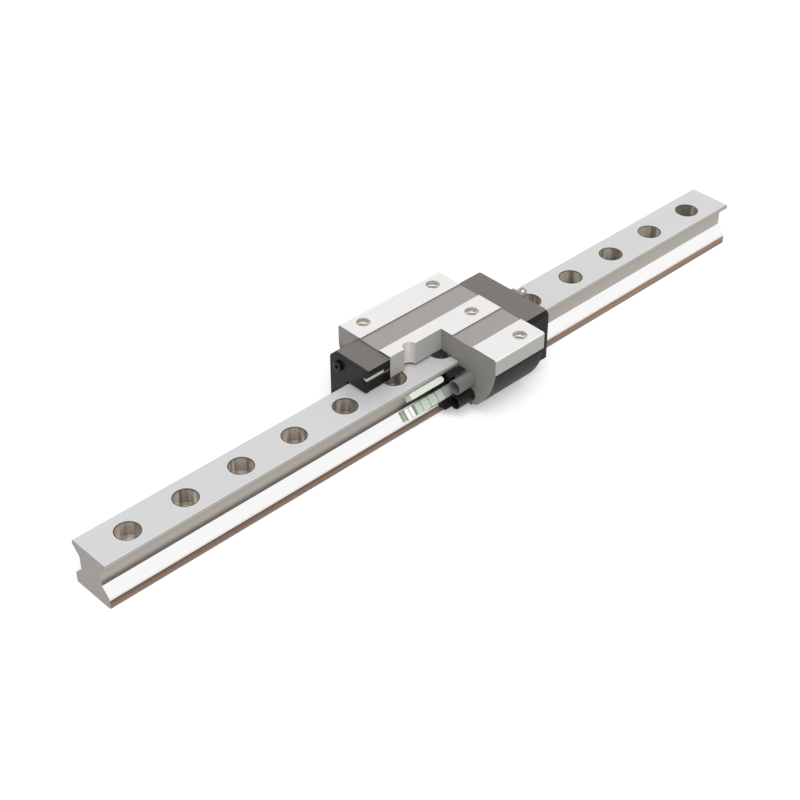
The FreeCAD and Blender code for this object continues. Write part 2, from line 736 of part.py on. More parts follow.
def open_plate(body, label, end, outside, sides):
    """The hole of the grease port through a seal or its plate, and the section of the front one."""
    hole = new_sketch(body, f"{label}_port_place", z=f"{ENDS[end]} * {outside}")
    draw_circle(hole, "0", "dims.port_height", "dims.port_thread")
    add_pocket(body, hole, f"{label}_port", "dims.seal_thick + dims.plate_thick", reverse=ENDS[end] < 0)
    if len(sides) == 1:
        cut_quarter(body)
    return body


def make_grease_nipple():
    """The nipple in the rear port: a threaded shank, a hexagon and a waisted ball head."""
    body = new_body("grease_nipple")
    shank = f"({CAP_END} - dims.port_thread_depth)"
    radius = "dims.port_thread / 2"
    sketch = new_sketch(body, "nipple_profile", "XZ_Plane")
    tip = f"{PLATE_END} + dims.nipple_length"
    draw_outline(sketch, [
        (shank, "0"),
        (tip, "0"),
        (tip, "dims.nipple_ball / 4"),
        (f"{tip} - dims.nipple_ball / 4", "dims.nipple_ball / 2"),
        (f"{tip} - dims.nipple_ball / 2", "dims.nipple_ball / 2"),
        (f"{tip} - dims.nipple_ball / 2 - dims.nipple_taper", "dims.nipple_neck / 2"),
        (f"{PLATE_END} + dims.nipple_hex_thick", "dims.nipple_neck / 2"),
        (PLATE_END, radius),
        (shank, radius),
    ])
    add_revolution(body, sketch, "nipple_turned")
    hexagon = new_sketch(body, "nipple_hexagon_place", z=PLATE_END)
    corner = "(dims.nipple_hex / sqrt(3))"
    angles = range(0, 360, 60)
    draw_outline(hexagon, [(f"{corner} * cos({angle})", f"{corner} * sin({angle})") for angle in angles])
    add_pad(body, hexagon, "nipple_hexagon", "dims.nipple_hex_thick")
    bind_placement(body, "Placement", z="dims.port_height")
    return body


def make_port_plug():
    """The set screw that closes the front port, cut in half by the section."""
    body = new_body("front_port_plug")
    sketch = new_sketch(body, "plug_place", z=f"-{SEAL_END}")
    draw_circle(sketch, "0", "dims.port_height", "dims.port_thread")
    add_pad(body, sketch, "plug_thread", "dims.seal_thick + dims.port_thread_depth")
    cut_quarter(body)
    return body


def check_and_write(pieces):
    """Stop at a failed object or an invalid shape, and otherwise write each piece to a file."""
    doc.recompute()
    for item in doc.Objects:
        if "Invalid" in item.State or "Error" in item.State:
            raise RuntimeError(f"{item.Label} failed: {item.State}")
    for piece in pieces:
        shape = piece.Shape
        if shape.isNull() or not shape.isValid() or not shape.Solids:
            raise RuntimeError(f"{piece.Label} has no valid shape")
    os.makedirs("parts", exist_ok=True)
    for piece in pieces:
        piece.Shape.exportStep(os.path.join("parts", f"{piece.Label}.step"))
        box = piece.Shape.BoundBox
        print(f"{piece.Label}: {len(piece.Shape.Solids)} solids, {piece.Shape.Volume:.1f} mm3, {box}")


def main():
    """Make every piece of the guide and write it."""
    both, left = ("left", "right"), ("left",)
    pieces = [make_rail(), make_block()]
    for end, sides in (("front", left), ("rear", both)):
        pieces.append(make_end_cap(end, sides))
        pieces.append(make_end_seal(end, sides))
        pieces.append(make_seal_plate(end, sides))
        pieces += [make_return_guide(end, side) for side in sides]
    for side in SIDES:
        pieces += make_holders(side)
    pieces += [make_return_tube(row) for row in ROW_Z]
    pieces += make_rows()
    pieces += [make_grease_nipple(), make_port_plug()]
    check_and_write(pieces)


main()
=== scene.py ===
"""Looks of a roller linear guide of size 25, with a quarter of its flanged carriage cut away.

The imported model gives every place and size. Its pieces keep their shapes and get the finish of ground
steel, moulded resin or rubber. The edges of the rail, the block and the caps are broken on copies, and
the small screws and the threads are made here.
"""

import logging
import math
from dataclasses import dataclass, field
from enum import Enum
from functools import partial, reduce

import bpy
from bpy.types import Material, Node, NodeSocket, NodeTree, Object
from mathutils import Euler, Matrix, Vector


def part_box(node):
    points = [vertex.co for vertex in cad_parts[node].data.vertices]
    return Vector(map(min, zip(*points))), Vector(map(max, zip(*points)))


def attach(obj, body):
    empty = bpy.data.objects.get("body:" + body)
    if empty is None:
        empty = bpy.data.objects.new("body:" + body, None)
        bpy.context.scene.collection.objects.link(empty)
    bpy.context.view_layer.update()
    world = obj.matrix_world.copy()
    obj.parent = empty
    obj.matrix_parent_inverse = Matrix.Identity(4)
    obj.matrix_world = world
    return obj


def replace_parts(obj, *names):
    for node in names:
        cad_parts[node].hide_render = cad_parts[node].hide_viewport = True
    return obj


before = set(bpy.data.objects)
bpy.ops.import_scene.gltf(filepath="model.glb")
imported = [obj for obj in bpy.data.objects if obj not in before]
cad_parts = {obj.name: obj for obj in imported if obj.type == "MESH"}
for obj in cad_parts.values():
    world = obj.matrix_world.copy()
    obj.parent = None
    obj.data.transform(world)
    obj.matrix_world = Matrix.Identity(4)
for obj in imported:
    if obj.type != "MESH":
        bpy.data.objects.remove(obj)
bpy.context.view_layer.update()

LOG = logging.getLogger("roller_guide")
MM = 0.001
FACING = 0.9               # a face looks along an axis where its normal has more than this of it
UPRIGHT = 0.3              # a face stands upright where its normal has less than this along Z
ON_PLANE = 0.1             # how near a section plane its cut faces lie, in millimetres
ON_FACE = 0.01             # how near a face its own polygons lie, in millimetres
WELD = 0.001               # points nearer than this are one point, in millimetres
NOISE = (0.3, 0.7)         # where most of the values of a noise lie
MIX_NUMBERS = (0, 2, 3)    # the inputs of a mix node for its factor and its two numbers
MIX_COLOURS = (0, 6, 7)    # the inputs of a mix node for its factor and its two colours
MIXED_COLOUR = 2           # the output of a mix node for a colour

Colour = tuple[float, float, float, float]
Size = tuple[float, float, float]
Span = tuple[float, float]


class Slot(Enum):
    """The material slots of the record."""

    RAIL = "rail_steel"
    BLOCK = "block_steel"
    CAP = "cap_resin"
    PLATE = "plate_steel"


def srgb(code: str) -> Colour:
    """Turn an sRGB hex colour into linear light.

    Args:
        code: Six hex digits, such as "c8c8c4".

    Returns:
        Red, green, blue and alpha.
    """
    parts = [int(code[i:i + 2], 16) / 255 for i in (0, 2, 4)]
    linear = [c / 12.92 if c <= 0.04045 else ((c + 0.055) / 1.055) ** 2.4 for c in parts]
    return (*linear, 1.0)


def add_node(tree: NodeTree, kind: str, inputs: dict | None = None, **settings: object) -> Node:
    """Add one node with its settings and links.

    Args:
        tree: The tree that the node goes into.
        kind: The node's type, such as "ShaderNodeMath".
        inputs: A value or a socket to link from, by the name or number of each input.
        **settings: Attributes of the node.

    Returns:
        The new node.
    """
    node = tree.nodes.new(kind)
    for name, value in settings.items():
        setattr(node, name, value)
    for key, value in (inputs or {}).items():
        if isinstance(value, NodeSocket):
            tree.links.new(value, node.inputs[key])
        else:
            node.inputs[key].default_value = value
    return node


@dataclass
class Surface:
    """Where a point of a piece lies and which way it faces, as sockets that masks are made from.

    The axes x, y and z are the point's place in millimetres, and nx, ny and nz are its normal.
    """

    tree: NodeTree
    place: NodeSocket = field(init=False)
    axes: dict[str, NodeSocket] = field(init=False)

    def __post_init__(self) -> None:
        """Read the object coordinates in millimetres and the normal in the object's own axes."""
        coordinates = add_node(self.tree, "ShaderNodeTexCoord")
        self.place = coordinates.outputs["Object"]
        scaled = add_node(self.tree, "ShaderNodeVectorMath", {0: self.place, "Scale": 1 / MM},
                          operation="SCALE")
        place = add_node(self.tree, "ShaderNodeSeparateXYZ", {0: scaled.outputs[0]})
        normal = add_node(self.tree, "ShaderNodeSeparateXYZ", {0: coordinates.outputs["Normal"]})
        self.axes = dict(zip(("x", "y", "z", "nx", "ny", "nz"), (*place.outputs, *normal.outputs)))

    def math(self, operation: str, *values: NodeSocket | float) -> NodeSocket:
        """The result of one step of arithmetic, such as "ABSOLUTE", on numbers or sockets."""
        node = add_node(self.tree, "ShaderNodeMath", dict(enumerate(values)), operation=operation)
        return node.outputs[0]

    def size(self, axis: str) -> NodeSocket:
        """The distance from zero along one axis."""
        return self.math("ABSOLUTE", self.axes[axis])

    def over(self, value: NodeSocket, limit: float) -> NodeSocket:
        """A mask of where a value is over a limit."""
        return self.math("GREATER_THAN", value, limit)

    def under(self, value: NodeSocket, limit: float) -> NodeSocket:
        """A mask of where a value is under a limit."""
        return self.math("LESS_THAN", value, limit)

    def both(self, *masks: NodeSocket) -> NodeSocket:
        """A mask of where all the given masks hold."""
        return reduce(partial(self.math, "MULTIPLY"), masks)

    def looks_up(self) -> NodeSocket:
        """A mask of the faces that look up."""
        return self.over(self.axes["nz"], FACING)

    def looks_along(self, axis: str) -> NodeSocket:
        """A mask of the faces that look along an axis, either way."""
        return self.over(self.size(f"n{axis}"), FACING)

    def upright(self) -> NodeSocket:
        """A mask of the faces that stand upright."""
        return self.under(self.size("nz"), UPRIGHT)

    def section(self, axis: str) -> NodeSocket:
        """A mask of the cut faces on the section plane across an axis."""
        return self.both(self.looks_along(axis), self.under(self.size(axis), ON_PLANE))

    def noise(self, millimetres: Size, detail: float = 2.0) -> NodeSocket:
        """A noise whose features have a real size along each axis.

        Args:
            millimetres: The size of a feature along X, Y and Z.
            detail: How many finer layers it has.

        Returns:
            A value about 0.5.
        """
        scale = tuple(1 / (size * MM) for size in millimetres)
        mapped = add_node(self.tree, "ShaderNodeMapping", {"Vector": self.place, "Scale": scale})
        inputs = {"Vector": mapped.outputs[0], "Scale": 1.0, "Detail": detail}
        return add_node(self.tree, "ShaderNodeTexNoise", inputs).outputs["Fac"]

    def ranged(self, value: NodeSocket, span: Span) -> NodeSocket:
        """A noise spread to lie between two numbers.

        Args:
            value: The noise's socket.
            span: The lowest and the highest number.

        Returns:
            The spread value's socket.
        """
        names = ("Value", "From Min", "From Max", "To Min", "To Max")
        inputs = dict(zip(names, (value, *NOISE, *span)))
        return add_node(self.tree, "ShaderNodeMapRange", inputs).outputs[0]

    def ramp(self, value: NodeSocket, none: float, full: float) -> NodeSocket:
        """A mask that grows evenly from 0 to 1 as a value goes from none to full."""
        inputs = {"Value": value, "From Min": none, "From Max": full}
        return add_node(self.tree, "ShaderNodeMapRange", inputs).outputs[0]

    def paint(self, base: str, *layers: tuple[NodeSocket, str]) -> NodeSocket:
        """A colour in sRGB hex with others laid over it where their masks hold."""
        return self.repaint(srgb(base), *layers)

    def repaint(self, base: Colour | NodeSocket, *layers: tuple[NodeSocket, str]) -> NodeSocket:
        """A colour or a colour's socket with others laid over it.

        Args:
            base: The colour below them all, in linear light.
            *layers: A mask and the sRGB hex colour where it holds, later ones over earlier ones.

        Returns:
            The colour's socket.
        """
        for mask, code in layers:
            inputs = dict(zip(MIX_COLOURS, (mask, base, srgb(code))))
            mixed = add_node(self.tree, "ShaderNodeMix", inputs, data_type="RGBA")
            base = mixed.outputs[MIXED_COLOUR]
        return base

    def shaded(self, colour: NodeSocket, value: NodeSocket) -> NodeSocket:
        """A colour multiplied by a grey value.

        Args:
            colour: The colour's socket.
            value: The grey value's socket.

        Returns:
            The darker or lighter colour's socket.
        """
        grey = add_node(self.tree, "ShaderNodeCombineColor", {0: value, 1: value, 2: value})
        inputs = dict(zip(MIX_COLOURS, (1.0, colour, grey.outputs[0])))
        node = add_node(self.tree, "ShaderNodeMix", inputs, data_type="RGBA", blend_type="MULTIPLY")
        return node.outputs[MIXED_COLOUR]

    def level(self, base: float | NodeSocket,
              *steps: tuple[NodeSocket, float | NodeSocket]) -> NodeSocket:
        """A number that changes where masks hold.

        Args:
            base: The number, or its socket, where no mask holds.
            *steps: A mask and the number or socket where it holds, later ones over earlier ones.

        Returns:
            The number's socket.
        """
        for mask, value in steps:
            inputs = dict(zip(MIX_NUMBERS, (mask, base, value)))
            base = add_node(self.tree, "ShaderNodeMix", inputs, data_type="FLOAT").outputs[0]
        return base

    def about(self, along: NodeSocket, across: NodeSocket, x: float = 0.0, y: float = 0.0) -> NodeSocket:
        """The distance in plan from an upright line.

        Args:
            along: The point's place along X.
            across: Its place along Y.
            x: The line's place along X.
            y: Its place along Y.

        Returns:
            The distance's socket.
        """
        squares = [self.math("POWER", self.math("ABSOLUTE", self.math("SUBTRACT", value, centre)), 2.0)
                   for value, centre in ((along, x), (across, y))]
        return self.math("SQRT", self.math("ADD", *squares))

    def relief(self, value: NodeSocket, millimetres: float, strength: float) -> NodeSocket:
        """A bumped normal from a height between 0 and 1, with its depth and how much of it shows."""
        inputs = {"Height": value, "Distance": millimetres * MM, "Strength": strength}
        return add_node(self.tree, "ShaderNodeBump", inputs).outputs[0]


@dataclass(frozen=True)
class Finish:
    """What every finish has: a name, and a shader with its even values.

    In the finishes below, colours are sRGB hex values, heights and other lengths are in millimetres in
    the object's frame, and a relief is its depth in millimetres and how much of it shows.
    """

    name: str
    metallic: float = 0.0
    ior: float = 1.5
    gloss: float = 0.5

    def start(self) -> tuple[Material, Node, Surface]:
        """Make a new material with its even values set.

        Returns:
            The material, its shader and the surface that its patterns read.
        """
        material = bpy.data.materials.new(self.name)
        material.use_nodes = True
        shader = material.node_tree.nodes["Principled BSDF"]
        shader.inputs["Metallic"].default_value = self.metallic
        shader.inputs["IOR"].default_value = self.ior
        shader.inputs["Specular IOR Level"].default_value = self.gloss
        return material, shader, Surface(material.node_tree)

    @staticmethod
    def wire(surface: Surface, shader: Node, **sockets: NodeSocket) -> None:
        """Link sockets to the shader's inputs by name, with spaces written as underscores."""
        for name, socket in sockets.items():
            surface.tree.links.new(socket, shader.inputs[name.replace("_", " ")])


@dataclass(frozen=True)
class GroundRailSteel(Finish):
    """Hardened bearing steel, ground along its length.

    The top is a bright even grey with fine lines along it; the head's sides and the broken edge between
    are painted darker as shade. The raceways are ground so fine that they mirror the white room, and the
    lower ones, which look up, are painted near white as that reflection. The waist between them is only
    milled, and painted shade darkens it towards the lower raceway. The foot is brown, with painted shade
    deeper at its top, up to the ground strip above it. Behind the carriage both painted shades fade out
    and the colours are even. In the bored holes, light and dark bands are a painted reflection of the
    room, with painted shade deeper down and a painted dark rim. The grinding lines are 0.02 mm apart on
    the real rail and are drawn 0.5 mm apart.
    """

    name: str = "ground_bearing_steel"
    gloss: float = 0.3
    top: str = "d4d4d5"
    raceway: str = "fafafa"
    under: str = "b9b5b0"
    shaded_head_side: str = "a39e96"
    shaded_head_edge: str = "8a867f"
    waist: str = "b3ada5"
    waist_shade: str = "6a5f57"
    foot: str = "806b5e"
    foot_worn: str = "97816f"
    foot_shade: str = "5f4f44"
    foot_ground: str = "efebe7"
    end: str = "9c9692"
    hole: str = "ece3d9"
    hole_deep_shade: str = "a3978b"
    seat: str = "e2dacf"
    hole_edge: str = "57514c"
    foot_top: float = 5.4
    brown_top: float = 4.3
    brown_even: float = 1.2
    brown_deep: float = 3.7
    raceway_top: float = 10.1
    waist_shade_from: float = 13.6
    waist_shade_full: float = 11.2
    shade_fade_from: float = 55.0
    shade_fade_to: float = -15.0
    head_low: float = 21.1
    head_top: float = 22.7
    deep_from: float = 17.5
    deep_full: float = 14.5
    hole_radius: float = 5.53
    rim_radius: float = 6.0
    hole_pitch: float = 30.0
    slanted: float = 0.4
    level_top: float = 0.97
    end_facing: float = 0.6
    wear: Size = (70.0, 3.0, 1.2)
    lines: Size = (60.0, 0.5, 0.5)
    tone: Size = (90.0, 12.0, 12.0)
    bands: Size = (2.6, 2.6, 60.0)
    band_edge: Span = (0.42, 0.58)
    band_shade: Span = (0.5, 1.1)
    shade: Span = (0.97, 1.0)
    roughness: Span = (0.42, 0.52)
    line_relief: Span = (0.01, 0.2)
    raceway_roughness: float = 0.15
    hole_roughness: float = 0.22
    steel_metallic: float = 0.25
    hole_metallic: float = 0.6

    def build(self) -> Material:
        """Make the material.

        Returns:
            The material.
        """
        material, shader, s = self.start()
        height, facing, upright, sideways = s.axes["z"], s.axes["nz"], s.upright(), s.looks_along("y")
        shade_fade = s.ramp(s.axes["x"], self.shade_fade_from, self.shade_fade_to)
        raceway = s.both(s.over(facing, self.slanted), s.under(facing, FACING),
                         s.under(height, self.raceway_top))
        waist = s.both(upright, sideways, s.under(height, self.head_low), s.over(height, self.foot_top))
        foot = s.both(sideways, s.under(height, self.foot_top))
        radius = s.about(s.math("PINGPONG", s.axes["x"], self.hole_pitch / 2), s.axes["y"])
        hole = s.both(s.under(radius, self.hole_radius), s.under(height, self.head_top))
        wall = s.both(hole, upright)
        colour = s.paint(
            self.top,
            # Painted shade: the head's upright sides, and the broken edge along the top, are painted
            # darker than the top.
            (s.both(upright, sideways), self.shaded_head_side),
            (s.both(s.under(facing, self.level_top), s.over(height, self.head_top)), self.shaded_head_edge),
            # Partly real, partly painted reflection: the up-facing lower raceways are ground to a mirror
            # and also painted near white, as the white room they mirror.
            (raceway, self.raceway),
            (s.under(facing, -self.slanted), self.under),
            (waist, self.waist),
            # Painted shade: the waist darker towards the lower raceway, fading out along the rail behind
            # the carriage.
            (s.both(waist, shade_fade, s.ramp(height, self.waist_shade_from, self.waist_shade_full)), self.waist_shade),
            (foot, self.foot),
            (s.both(foot, s.ranged(s.noise(self.wear), (0.0, 1.0))), self.foot_worn),
            # Painted shade: the foot darker towards its top, fading out along the rail like the waist's.
            (s.both(foot, shade_fade, s.ramp(height, self.brown_even, self.brown_deep)), self.foot_shade),
            (s.both(foot, s.over(height, self.brown_top)), self.foot_ground),
            (s.over(s.size("nx"), self.end_facing), self.end),
            (wall, self.hole),
            # Painted shade: the hole walls darker further down.
            (s.both(wall, s.ramp(height, self.deep_from, self.deep_full)), self.hole_deep_shade))
        # Painted reflection: light and dark bands of the room on the hole walls.
        dark, light = self.band_shade
        bands = s.ramp(s.noise(self.bands, detail=1.0), *self.band_edge)
        colour = s.shaded(colour, s.level(1.0, (hole, s.level(dark, (bands, light)))))
        # Painted shade: a dark rim round each hole.
        rim = s.both(s.under(radius, self.rim_radius), s.over(height, self.head_top))
        colour = s.repaint(colour, (s.both(hole, s.looks_up()), self.seat), (rim, self.hole_edge))
        lines, tone = s.noise(self.lines, detail=4.0), s.noise(self.tone)
        colour = s.shaded(s.shaded(colour, s.ranged(lines, self.shade)), s.ranged(tone, self.shade))
        roughness = s.level(s.ranged(lines, self.roughness), (raceway, self.raceway_roughness),
                            (hole, self.hole_roughness))
        metallic = s.level(self.steel_metallic, (raceway, 1.0), (hole, self.hole_metallic))
        self.wire(s, shader, Base_Color=colour, Roughness=roughness, Metallic=metallic,
                  Normal=s.relief(lines, *self.line_relief))
        return material


@dataclass(frozen=True)
class MilledBlockSteel(Finish):
    """Case hardened steel, milled all over and ground on the pads that the table sits on.

    The ground pads look almost white and the milled strips between them are a warm mid grey. The
    rounded sides below the flanges and the lowest strip of the flange sides are painted nearly black as
    shade. The section was sawn and lightly blasted; its cut across the block and the block's ends are
    painted a darker grey than its cut along the block and the sides, as shade. Milling marks are 0.3 mm
    apart and are drawn 0.8 mm apart, so that they show.
    """

    name: str = "milled_carriage_steel"
    gloss: float = 0.08
    pad: str = "eeedec"
    strip: str = "a9a4a1"
    side: str = "a9a9a6"
    end: str = "888482"
    shaded_section_across: str = "8f8d8a"
    lit_section_along: str = "aeaca8"
    leg: str = "93908b"
    flank_shade: str = "242220"
    inside: str = "8a847d"
    bore: str = "d8d3cb"
    raceway: str = "dcdcda"
    pad_height: float = 35.9
    strip_height: float = 35.2
    step_height: float = 35.05
    flange_low: float = 26.6
    flank_shade_top: float = 27.3
    leg_height: float = 13.0
    half_length: float = 32.0
    half_width: float = 34.0
    chase_half: float = 16.6
    chase_top: float = 24.0
    flank_half: float = 19.6
    bore_radius: float = 3.6
    bore_low: float = 20.0
    corner_hole: Span = (22.5, 28.5)
    centre_hole: Span = (20.0, 0.0)
    low_facing: float = 0.2
    step_facing: float = 0.5
    marks: Size = (40.0, 0.8, 0.8)
    patches: Size = (14.0, 9.0, 9.0)
    mark_shade: Span = (0.95, 1.0)
    patch_shade: Span = (0.97, 1.0)
    mark_relief: Span = (0.015, 0.3)
    roughness: Span = (0.33, 0.46)
    cut_roughness: float = 0.6
    dark_flank_roughness: float = 0.45
    steel_metallic: float = 0.75
    cut_metallic: float = 0.1
    bore_metallic: float = 0.3

    def build(self) -> Material:
        """Make the material.

        Returns:
            The material.
        """
        material, shader, s = self.start()
        height, facing, up = s.axes["z"], s.axes["nz"], s.looks_up()
        low = s.under(facing, self.low_facing)
        flank = s.both(low, s.over(s.size("y"), self.flank_half), s.under(height, self.flange_low))
        inner = s.both(s.under(s.size("y"), self.chase_half), s.under(height, self.chase_top))
        outer = s.both(s.looks_along("y"), s.over(s.size("y"), self.half_width))
        skirt = s.both(outer, s.under(height, self.flank_shade_top))
        step = s.both(s.over(facing, self.step_facing), s.over(height, self.step_height),
                      s.under(facing, FACING))
        end = s.both(s.looks_along("x"), s.over(s.size("x"), self.half_length))
        across, along = s.section("x"), s.section("y")
        holes = [s.under(s.about(s.size("x"), s.size("y"), *place), self.bore_radius)
                 for place in (self.corner_hole, self.centre_hole)]
        bore = s.both(s.math("MAXIMUM", *holes), s.upright(), s.over(height, self.bore_low))
        colour = s.paint(
            self.side,
            # Painted shade: the rounded flanks below the flanges and the lowest strip of the flange sides
            # are painted nearly black.
            (low, self.inside), (flank, self.flank_shade), (inner, self.raceway), (outer, self.side),
            (skirt, self.flank_shade), (s.both(up, s.over(height, self.strip_height)), self.strip),
            (step, self.pad), (s.both(up, s.over(height, self.pad_height)), self.pad),
            # Painted shade: faces that look along X, the ends and the section across the block, are
            # painted darker than the sides and the section along it.
            (end, self.end), (across, self.shaded_section_across),
            (s.both(across, s.under(height, self.leg_height)), self.leg), (bore, self.bore),
            (along, self.lit_section_along))
        marks, patches = s.noise(self.marks, detail=3.0), s.noise(self.patches)
        colour = s.shaded(colour, s.ranged(marks, self.mark_shade))
        colour = s.shaded(colour, s.ranged(patches, self.patch_shade))
        black, cut = s.math("MAXIMUM", flank, skirt), s.math("MAXIMUM", across, along)
        metallic = s.level(self.steel_metallic, (black, 0.0), (cut, self.cut_metallic),
                           (bore, self.bore_metallic))
        roughness = s.level(s.ranged(marks, self.roughness), (cut, self.cut_roughness),
                            (black, self.dark_flank_roughness))
        self.wire(s, shader, Base_Color=colour, Roughness=roughness, Metallic=metallic,
                  Normal=s.relief(marks, *self.mark_relief))
        return material


@dataclass(frozen=True)
class MouldedResin(Finish):
    """Glass filled nylon or acetal from a mould: an even colour with a fine spark eroded grain.

    The grain is 0.05 mm on the real part and is drawn 0.4 mm, which gives the soft broken gloss of such
    parts. A face that looks up can be painted a paler colour, as the light that falls on it.
    """

    gloss: float = 0.2
    colour: str = "1d1c1b"
    upper: str = "262523"
    section: str = "151413"
    grain: Size = (0.4, 0.4, 0.4)
    cloud: Size = (9.0, 9.0, 9.0)
    grain_shade: Span = (0.93, 1.0)
    cloud_shade: Span = (0.95, 1.0)
    grain_relief: Span = (0.02, 0.35)
    roughness: Span = (0.32, 0.44)

    def build(self) -> Material:
        """Make the material.

        Returns:
            The material.
        """
        material, shader, s = self.start()
        # Painted light where upper differs from colour: faces that look up are painted paler, as lit.
        colour = s.paint(self.colour, (s.looks_up(), self.upper), (s.section("y"), self.section))
        grain = s.noise(self.grain)
        colour = s.shaded(colour, s.ranged(grain, self.grain_shade))
        colour = s.shaded(colour, s.ranged(s.noise(self.cloud), self.cloud_shade))
        self.wire(s, shader, Base_Color=colour, Roughness=s.ranged(grain, self.roughness),
                  Normal=s.relief(grain, *self.grain_relief))
        return material


@dataclass(frozen=True)
class ChainResin(Finish):
    """Pale green polymer of the roller chains: matt and slightly waxy.

    The upper chain is painted cream, as it catches the light. The land in front of the first roller is
    painted near white as a highlight like that of the bare roller, and the end of the last link keeps the
    deeper green of the polymer.
    """

    name: str = "green_chain_polymer"
    face: str = "cad8cc"
    upper: str = "d9dfd3"
    land: str = "f1f4ee"
    end_link: str = "8fa184"
    upper_from: float = 13.3
    land_to: float = -30.4
    end_link_to: float = -32.8
    grain: Size = (0.5, 0.5, 0.5)
    shade: Span = (0.94, 1.0)
    roughness: Span = (0.4, 0.55)
    grain_relief: Span = (0.015, 0.3)

    def build(self) -> Material:
        """Make the material.

        Returns:
            The material.
        """
        material, shader, s = self.start()
        colour = s.paint(
            # Painted highlight: the land near white, like the bare roller.
            self.face, (s.under(s.axes["x"], self.land_to), self.land),
            (s.under(s.axes["x"], self.end_link_to), self.end_link),
            # Painted light: the upper chain cream, as lit.
            (s.over(s.axes["z"], self.upper_from), self.upper))
        grain = s.noise(self.grain)
        self.wire(s, shader, Base_Color=s.shaded(colour, s.ranged(grain, self.shade)),
                  Roughness=s.ranged(grain, self.roughness), Normal=s.relief(grain, *self.grain_relief))
        return material


@dataclass(frozen=True)
class GroundRollerSteel(Finish):
    """Superfinished roller steel: a clean mirror where the roller is bare, and dulled in its pocket.

    The rollers in the pockets are painted dim and pale green as shade, so that they blend with the chain.
    """

    name: str = "ground_roller_steel"
    gloss: float = 0.25
    bare: str = "fafafa"
    pocket_shade: str = "c4d0c5"
    bare_to: float = -26.5
    mottle: Size = (0.8, 0.8, 0.8)
    shade: Span = (0.95, 1.0)
    roughness: Span = (0.5, 0.62)
    pocket_metallic: float = 0.08
    bare_metallic: float = 0.85
    bare_roughness: float = 0.2

    def build(self) -> Material:
        """Make the material.

        Returns:
            The material.
        """
        material, shader, s = self.start()
        bare, mottle = s.under(s.axes["x"], self.bare_to), s.noise(self.mottle, detail=3.0)
        # Painted shade: the rollers in the pockets are painted dim and pale green to blend with the
        # chain.
        colour = s.shaded(s.paint(self.pocket_shade, (bare, self.bare)), s.ranged(mottle, self.shade))
        metallic = s.level(self.pocket_metallic, (bare, self.bare_metallic))
        roughness = s.level(s.ranged(mottle, self.roughness), (bare, self.bare_roughness))
        self.wire(s, shader, Base_Color=colour, Metallic=metallic, Roughness=roughness)
        return material


@dataclass(frozen=True)
class PlainSteel(Finish):
    """Steel with one finish all over: zinc plated fittings, tapped threads or blackened plates.

    Fine turning marks run round the piece. They are 0.05 mm apart on the real part and drawn 0.3 mm.
    """

    metallic: float = 1.0
    colour: str = "aaa49c"
    stain: str = "8f8880"
    upper: str = ""
    marks: Size = (0.3, 4.0, 4.0)
    stains: Size = (3.0, 3.0, 3.0)
    mark_relief: Span = (0.01, 0.3)
    roughness: Span = (0.25, 0.38)

    def build(self) -> Material:
        """Make the material, with painted light on the faces that look up where upper is set.

        Returns:
            The material.
        """
        material, shader, s = self.start()
        marks = s.noise(self.marks, detail=3.0)
        colour = s.paint(self.colour, (s.ranged(s.noise(self.stains), (0.0, 1.0)), self.stain))
        if self.upper:
            colour = s.repaint(colour, (s.looks_up(), self.upper))
        self.wire(s, shader, Base_Color=colour, Roughness=s.ranged(marks, self.roughness),
                  Normal=s.relief(marks, *self.mark_relief))
        return material


@dataclass(frozen=True)
class PlugSteel(Finish):
    """Blackened plug of the front grease port, bright in the narrow bore that its section lays open."""

    name: str = "blackened_plug_steel"
    metallic: float = 0.4
    gloss: float = 0.2
    colour: str = "26241f"
    bore: str = "c9c5bd"
    bore_half: float = 0.75
    axis_height: float = 30.4
    turning: Size = (0.3, 3.0, 3.0)
    shade: Span = (0.92, 1.0)
    roughness: Span = (0.3, 0.45)

    def build(self) -> Material:
        """Make the material.

        Returns:
            The material.
        """
        material, shader, s = self.start()
        off = s.math("ABSOLUTE", s.math("SUBTRACT", s.axes["z"], self.axis_height))
        colour = s.paint(self.colour, (s.under(off, self.bore_half), self.bore))
        turned = s.noise(self.turning, detail=3.0)
        self.wire(s, shader, Base_Color=s.shaded(colour, s.ranged(turned, self.shade)),
                  Roughness=s.ranged(turned, self.roughness))
        return material


@dataclass(frozen=True)
class SealRubber(Finish):
    """Black nitrile rubber: nearly matt, with dust and painted light where it looks up."""

    name: str = "nitrile_rubber"
    ior: float = 1.52
    gloss: float = 0.2
    colour: str = "1b1a19"
    dust_and_top_light: str = "2c2a28"
    least_dust_and_light: float = 0.0
    specks: Size = (2.0, 2.0, 2.0)
    grain: Size = (0.3, 0.3, 0.3)
    roughness: Span = (0.55, 0.7)
    grain_relief: Span = (0.02, 0.4)

    def build(self) -> Material:
        """Make the material.

        Returns:
            The material.
        """
        material, shader, s = self.start()
        dust_and_light = s.ranged(s.noise(self.specks, detail=4.0), (self.least_dust_and_light, 1.0))
        grain = s.noise(self.grain)
        self.wire(s, shader, Base_Color=s.paint(self.colour, (s.both(dust_and_light, s.looks_up()), self.dust_and_top_light)),
                  Roughness=s.ranged(grain, self.roughness), Normal=s.relief(grain, *self.grain_relief))
        return material


def dress(piece: Object, material: Material) -> None:
    """Give a piece one material all over.

    Args:
        piece: A new piece or a modelled one.
        material: Its finish.
    """
    piece.data.materials.clear()
    piece.data.materials.append(material)
    LOG.info("%s is dressed in %s", piece.name, material.name)


def choose(piece: Object) -> None:
    """Make one object the only selected and the active one.

    Args:
        piece: The object that the next operators act on.
    """
    bpy.ops.object.select_all(action="DESELECT")
    piece.select_set(True)
    bpy.context.view_layer.objects.active = piece


